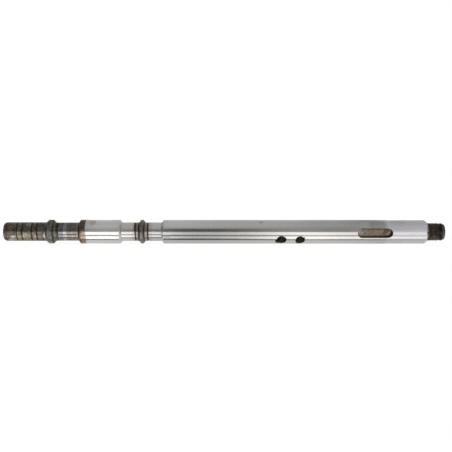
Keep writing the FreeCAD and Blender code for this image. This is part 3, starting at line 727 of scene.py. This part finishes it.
cutSteel = {
    "scale": {"dark": tone(0.68, 0.66, 0.63), "light": tone(1.25, 1.23, 1.2), "specks": 0.3},
    "bump": {"Strength": 0.3, "Distance": 0.0002},
    "rougher": 0.12,
    "bandWander": 0.3,
    "wallSoft": 0.5,                         # mm in which the floor's colour passes into the wall's
    "lipSoft": 0.25,                         # and the wall's into that of the broken edge
    "lipHeights": (-2.0, 1.0),               # between these the lip turns from its lower to its upper tone
    "lipRightFrom": (403.6, 404.8),          # between these stations it turns to its tone at the right
    "slot": {
        # the walls' dark tone is painted shade
        "floor": tone(0.232, 0.187, 0.143), "wall": tone(0.045, 0.038, 0.030), "rough": 0.42, "metallic": 0.9,
        "size": 1.6,                         # fineness of the scale
        "wallFrom": 5.9,                     # the wall starts this far in front of the axis
        # the broken edge starts this far from the axis, with tones above, below and at the right: painted
        # shade above, pale steel below and at the right
        "lip": 11.4, "lipTone": tone(0.110, 0.098, 0.084), "lipBelow": tone(0.58, 0.57, 0.55),
        "lipRight": tone(0.62, 0.62, 0.63),
        # painted shade along both walls: heights where it starts and where it covers, below and above. The
        # lower edge climbs by so much per mm, and has these heights at one station
        "paintedWallShade": {"below": (-2.5, -4.1), "above": (2.7, 3.9), "lean": 0.03, "from": 385.0,
                  "tone": tone(0.085, 0.072, 0.057)},
        # the drill point: how far in front of the axis it starts, and its tones from left to right, each
        # with the station where it starts: a painted highlight, then the painted shadow of the end wall
        "drill": {"level": 5.4, "levelSoft": 0.2, "toneSoft": 0.3, "metallic": 0.0,
                  "left": tone(0.60, 0.52, 0.43),
                  "next": [(401.4, tone(0.84, 0.75, 0.67)), (404.2, tone(0.10, 0.085, 0.070))]},
        # finishes along the floor: start and end station, softness, lean per mm across, colour
        "bands": [
            ("pinkLeft", 366.0, 374.7, 0.7, 0.28, tone(0.34, 0.29, 0.28)),
            ("greyGreen", 374.6, 380.2, 1.0, 0.0, tone(0.19, 0.192, 0.176)),
            ("oliveTan", 392.0, 396.6, 2.0, 0.1, tone(0.225, 0.180, 0.123)),
            ("brownEnd", 396.4, 401.0, 1.0, 0.0, tone(0.14, 0.118, 0.092)),
            # painted shadow of the slot's right end wall
            ("drillEndPaintedShadow", 404.0, 406.4, 0.7, 0.0, tone(0.10, 0.085, 0.070)),
        ],
    },
    "hole": {
        "floor": tone(0.30, 0.28, 0.25), "wall": tone(0.30, 0.28, 0.25), "rough": 0.42, "metallic": 0.75,
        "size": 1.3, "wallFrom": 5.9,
        # the holes' broken edge is painted shadow all round
        "lip": 11.9, "lipTone": tone(0.020, 0.018, 0.015), "lipBelow": tone(0.020, 0.018, 0.015),
        "lipRight": tone(0.020, 0.018, 0.015),
        "paintedWallShade": None, "drill": None, "bands": [],
    },
}


def slotPaintedWallShade(tree, spec, station, height):
    # 1 on the painted shade along the lower and the upper wall
    low, high = spec["below"], spec["above"]
    past = minus(tree, station, spec["from"])
    lowered = minus(tree, height, times(tree, past, spec["lean"]))
    under = ramp(tree, lowered, low[1], low[0], 1.0, 0.0)
    return maths(tree, "MAXIMUM", under, ramp(tree, height, high[0], high[1]))


def drillTones(tree, spec, station):
    # colour of the drill point from left to right, with its painted highlight and painted shadow
    colour, soft = spec["left"], spec["toneSoft"]
    for start, colourHere in spec["next"]:
        colour = blend(tree, ramp(tree, station, start - soft, start + soft), colour, colourHere)
    return colour


def finishCut(material, common, spec):
    # steel inside a cut: scale and oil; painted shade down the slot's walls, on its upper edge and round the
    # holes' mouths
    tree = emptyTree(material)
    where = place(tree, shaftPlace).outputs
    station, point = where["Station"], where["Point"]
    scale = place(tree, heatScale, Point=point, Size=spec["size"]).outputs
    parts = node(tree, "ShaderNodeSeparateXYZ", i0=point).outputs
    out, height = times(tree, parts[1], -1.0), parts[2]
    colour, metal = spec["floor"], spec["metallic"]
    for name, start, end, soft, lean, colourHere in spec["bands"]:
        band = place(tree, stationBand, Station=station, Shift=times(tree, height, lean), Start=start,
                     End=end, Soft=soft, Wander=common["bandWander"], Point=point)
        band.label = name
        colour = blend(tree, band.outputs[0], colour, colourHere)
    if spec["paintedWallShade"]:
        colour = blend(tree, slotPaintedWallShade(tree, spec["paintedWallShade"], station, height), colour, spec["paintedWallShade"]["tone"])
    wall = ramp(tree, out, spec["wallFrom"], spec["wallFrom"] + common["wallSoft"])
    colour = blend(tree, wall, colour, spec["wall"])
    drill = spec["drill"]
    if drill:
        low, high = drill["level"] - drill["levelSoft"], drill["level"]
        cone = drillTones(tree, drill, station)
        colour = blend(tree, ramp(tree, out, low, high, 1.0, 0.0), colour, cone)
        metal = ramp(tree, out, low, high, drill["metallic"], metal)
    colour = mottled(tree, scale, colour, common["scale"])
    lip = blend(tree, ramp(tree, height, *common["lipHeights"]), spec["lipBelow"], spec["lipTone"])
    lip = blend(tree, ramp(tree, station, *common["lipRightFrom"]), lip, spec["lipRight"])
    onLip = ramp(tree, where["Radius"], spec["lip"], spec["lip"] + common["lipSoft"])
    colour = blend(tree, onLip, colour, lip)
    rough = plus(tree, spec["rough"], times(tree, minus(tree, scale["Specks"], 0.5), common["rougher"]))
    bump = node(tree, "ShaderNodeBump", Height=scale["Height"], **common["bump"])
    show(tree, node(tree, "ShaderNodeBsdfPrincipled", Base_Color=colour, Roughness=rough, Metallic=metal,
                    Normal=bump.outputs[0]))


finishCut(slotFinish, cutSteel, cutSteel["slot"])
finishCut(holeFinish, cutSteel, cutSteel["hole"])
print("finishes made")

# lengths in metres
studio = {
    "floor": {"size": 8.0, "below": 0.0127, "glow": 0.945, "albedo": 0.1},
    "worldLight": 0.72,                      # plain light on the object
    "tentRadius": 12.0,
    "tentTurns": 360,
    # angles sideways where the tent has corners: in half degrees up to the first, then at the others
    "tentFine": 24,
    "tentCoarse": [28, 35, 45, 60, 75, 89],
    # lights and dark gaps of the tent. Round: brightness by the angle round the shaft, where 0 is level in
    # front, 90 overhead and -90 below. Side: a factor on that by the angle sideways, from left to right
    "tent": {
        "over": {
            "round": [(-180, 0.0), (32, 0.0), (38, 0.36), (48, 0.49), (62, 0.54), (90, 0.56), (110, 0.55),
                      (150, 0.62), (168, 0.66), (171, 0.36), (174, 0.36), (176, 1.35), (180, 1.35)],
            "side": [(-20, 0.56), (-13.2, 0.58), (-12.7, 0.32), (-11.7, 0.32), (-11.2, 1.36), (-9.7, 1.38),
                     (-8.7, 0.93), (-7, 1.0), (-4, 1.17), (-2, 1.03), (0, 0.95), (2.6, 0.95), (5, 1.03),
                     (7.3, 0.82), (9.2, 0.82), (10.7, 0.64), (11.4, 0.52), (12.2, 0.52), (12.5, 0.95),
                     (12.9, 0.98), (14, 0.86), (20, 0.84)],
        },
        "under": {
            "round": [(-180, 1.35), (-172, 1.30), (-170, 0.40), (-166, 0.40), (-163, 0.74), (-124, 0.80),
                      (-106, 0.85), (-92, 0.88), (-83.5, 0.84), (-80, 0.0), (180, 0.0)],
            "side": [(-20, 1.0), (-10, 1.06), (-4, 0.83), (0, 0.83), (5, 0.98), (9, 0.95), (12, 0.80),
                     (12.6, 0.70), (14, 0.82), (16, 0.86)],
        },
        "brow": {
            "round": [(30, 0.0), (38, 0.12), (52, 0.12), (70, 0.05), (84, 0.0)],
            "side": [(-11.6, 0.0), (-11.2, 3.4), (-10.2, 2.3), (-9.2, 0.0), (12.3, 0.0), (12.6, 1.4),
                     (14, 1.6), (20, 1.7)],
        },
        "gaps": {
            "round": [(-84, 0.0), (-80, 0.20), (-72, 0.26), (-64, 0.30), (-40, 0.32), (-34, 0.35),
                      (-27, 0.35), (-20, 0.28), (-4, 0.20), (2, 0.0)],
            "side": [(-20, 2.4), (-13.4, 2.2), (-12.8, 0.2), (-11.8, 0.2), (-11.2, 0.8), (-9.7, 1.6),
                     (-6, 0.9), (-4.2, 0.0), (-2, 0.3), (0.4, 0.6), (2.6, 0.4), (5, 1.3), (7.3, 2.3),
                     (9.2, 1.15), (11.6, 1.0), (12.6, 1.45), (14.5, 1.75), (20, 1.8)],
        },
        "shade": {
            "round": [(-4, 0.0), (2, 0.30), (8, 0.36), (14, 0.33), (30, 0.32), (34, 0.28), (38, 0.06),
                      (42, 0.0)],
            "side": [(-20, 0.9), (-13.2, 0.9), (-12.8, 0.15), (-11.8, 0.15), (-11.2, 2.2), (-9.4, 1.8),
                     (-6, 0.9), (-4.2, 0.10), (-2, 0.25), (0.4, 0.3), (2.6, 0.8), (5, 1.4), (7.3, 1.25),
                     (9.2, 0.90), (11.6, 0.7), (12.2, 0.7), (12.6, 2.2), (14, 2.3), (20, 2.4)],
        },
    },
    "lamps": {
        "round": [(-69, 0.0), (-66.5, 1.22), (-62, 1.36), (-52, 1.40), (-44, 1.32), (-38, 1.05), (-35, 0.0),
                  (-26, 0.0), (-23.5, 1.12), (-16, 1.28), (-6, 1.28), (2.5, 1.24), (4.5, 0.25), (7.5, 0.0)],
        "side": [(-20, 1.8), (-13.2, 1.7), (-12.7, 1.05), (-12.1, 1.05), (-11.7, 1.2), (-8, 1.1), (-5.5, 1.0),
                 (-4.2, 0.42), (-2, 0.38), (0.4, 0.46), (2.6, 0.66), (4.8, 1.08), (7.3, 0.94), (9.2, 0.76),
                 (12, 0.82), (12.5, 0.50), (20, 0.51)],
        # their light turns warm between two angles sideways, towards the right end
        "cool": (1.0, 0.995, 0.975), "warm": (1.03, 0.975, 0.93), "warmth": (1.0, 5.0),
    },
    # a dark card that trims the lower lamp in the middle: its ends round and sideways, how soft the first and
    # the second of them are, and the share of the light that it lets through
    "card": {"round": (-84, -57), "side": (-7.0, 1.5), "soft": (1.0, 1.5), "keep": 0.32},
    # far sideways the tent passes into its side walls, and these into the caps at its ends
    "sideWalls": [(-180, 0.45), (-90, 0.75), (-70, 1.0), (-5, 1.0), (8, 0.30), (100, 0.30), (180, 0.45)],
    "wallFrom": (32, 45),
    "endCap": 0.6,
    "capFrom": (72, 86),
}


def along(table, x):
    # straight-line value of a table at x
    if x <= table[0][0]:
        return table[0][1]
    for (x0, y0), (x1, y1) in zip(table, table[1:]):
        if x <= x1:
            return y0 + (y1 - y0) * (x - x0) / (x1 - x0)
    return table[-1][1]


def fade(x, low, high):
    # smooth step from 0 at low to 1 at high
    t = min(1.0, max(0.0, (x - low) / (high - low)))
    return t * t * (3 - 2 * t)


def within(x, ends, soft):
    # 1 between two ends, each with its own softness
    rise = fade(x, ends[0] - soft[0], ends[0] + soft[0])
    return rise * (1 - fade(x, ends[1] - soft[1], ends[1] + soft[1]))


def tentGlow(spec, turn, side):
    # colour of the tent at an angle round the shaft and an angle sideways
    lamps, card = spec["lamps"], spec["card"]
    shaded = within(turn, card["round"], card["soft"]) * within(side, card["side"], card["soft"])
    lamp = along(lamps["round"], turn) * along(lamps["side"], side) * (1 - shaded * (1 - card["keep"]))
    rest = sum(along(part["round"], turn) * along(part["side"], side) for part in spec["tent"].values())
    # between two angles sideways the lamps turn warm, and the rest keeps half of their cool tint
    warmth = fade(side, *lamps["warmth"])
    wall, cap = fade(abs(side), *spec["wallFrom"]), fade(abs(side), *spec["capFrom"])
    glow = []
    for cool, warm in zip(lamps["cool"], lamps["warm"]):
        here = lamp * (cool + (warm - cool) * warmth) + rest * (cool + 1) / 2
        here += (along(spec["sideWalls"], turn) - here) * wall
        glow.append(here + (spec["endCap"] - here) * cap)
    return glow


def lightTent(spec):
    # a wide light tent round the shaft that only reflections see
    mesh = bmesh.new()
    layer = mesh.verts.layers.float_color.new("glow")
    turns, radius = spec["tentTurns"], spec["tentRadius"]
    fine, coarse = spec["tentFine"], spec["tentCoarse"]
    middle = [half / 2 for half in range(-2 * fine, 2 * fine + 1)]
    sides = [-side for side in reversed(coarse)] + middle + coarse
    rows = []
    for side in sides:
        b = math.radians(side)
        row = []
        for k in range(turns):
            turn = -180 + 360 * k / turns
            a = math.radians(turn)
            x, y, z = math.sin(b), -math.cos(b) * math.cos(a), math.cos(b) * math.sin(a)
            vert = mesh.verts.new((radius * x, radius * y, radius * z))
            vert[layer] = (*tentGlow(spec, turn, side), 1.0)
            row.append(vert)
        rows.append(row)
    joinRings(mesh, rows)
    mesh.faces.new(rows[0])
    mesh.faces.new(rows[-1])
    tent = newObject("lightTent", mesh)
    material = bpy.data.materials.new("tentGlow")
    tree = emptyTree(material)
    level = node(tree, "ShaderNodeAttribute", attribute_name="glow").outputs["Color"]
    show(tree, node(tree, "ShaderNodeEmission", Color=level, Strength=1.0))
    tent.data.materials.append(material)
    tent.visible_camera = False
    tent.visible_diffuse = False
    tent.visible_shadow = False


def seenRays(tree):
    # 1 for the rays that show the background: camera, glossy and transmission
    path = node(tree, "ShaderNodeLightPath").outputs
    seen = maths(tree, "MAXIMUM", path["Is Camera Ray"], path["Is Glossy Ray"])
    return maths(tree, "MAXIMUM", seen, path["Is Transmission Ray"])


def paleFloor(spec):
    half = spec["size"] / 2
    mesh = bmesh.new()
    mesh.faces.new([mesh.verts.new((x * half, y * half, 0)) for x, y in ((-1, -1), (1, -1), (1, 1), (-1, 1))])
    floor = newObject("floor", mesh)
    floor.location.z = -spec["below"]
    material = bpy.data.materials.new("paleFloor")
    tree = emptyTree(material)
    cloth = node(tree, "ShaderNodeBsdfDiffuse", Color=tone(spec["albedo"], spec["albedo"], spec["albedo"]))
    shine = node(tree, "ShaderNodeEmission", Strength=times(tree, seenRays(tree), spec["glow"]))
    show(tree, node(tree, "ShaderNodeAddShader", i0=cloth.outputs[0], i1=shine.outputs[0]))
    floor.data.materials.append(material)
    floor.visible_glossy = False


def paleWorld(spec):
    # white where it is seen, and a plain level of light on the object
    world = bpy.data.worlds.new("studioWorld")
    tree = emptyTree(world)
    lit = spec["worldLight"]
    level = plus(tree, times(tree, seenRays(tree), 1.0 - lit), lit)
    shine = node(tree, "ShaderNodeBackground", Color=tone(1, 1, 1), Strength=level)
    show(tree, shine, "ShaderNodeOutputWorld")
    scene.world = world


lightTent(studio)
paleFloor(studio["floor"])
paleWorld(studio)
print("studio made")

# lengths in metres and angles in degrees, seen from the shaft's middle, apart from the height above the axis
# that the view aims at, which is in mm. The focal length is in pixels of the picture's width
view = {
    "distance": 0.774, "elevation": 7.8, "sideways": 0.00169, "above": 6.0, "roll": 0.04,
    "focal": 735.6, "width": 452, "sensor": 36.0, "nearest": 0.01,
}


def photoCamera(spec):
    data = bpy.data.cameras.new("photoCamera")
    data.sensor_width = spec["sensor"]
    data.sensor_fit = "HORIZONTAL"
    data.lens = spec["focal"] / spec["width"] * spec["sensor"]
    data.clip_start = spec["nearest"]
    camera = bpy.data.objects.new("photoCamera", data)
    scene.collection.objects.link(camera)
    rise = math.radians(spec["elevation"])
    distance = spec["distance"]
    camera.location = (spec["sideways"], -distance * math.cos(rise), distance * math.sin(rise))
    lift = math.atan(spec["above"] * mm / distance)
    camera.rotation_euler = (math.radians(90) - rise + lift, -math.radians(spec["roll"]), 0)
    scene.camera = camera


photoCamera(view)

print("scene ready")
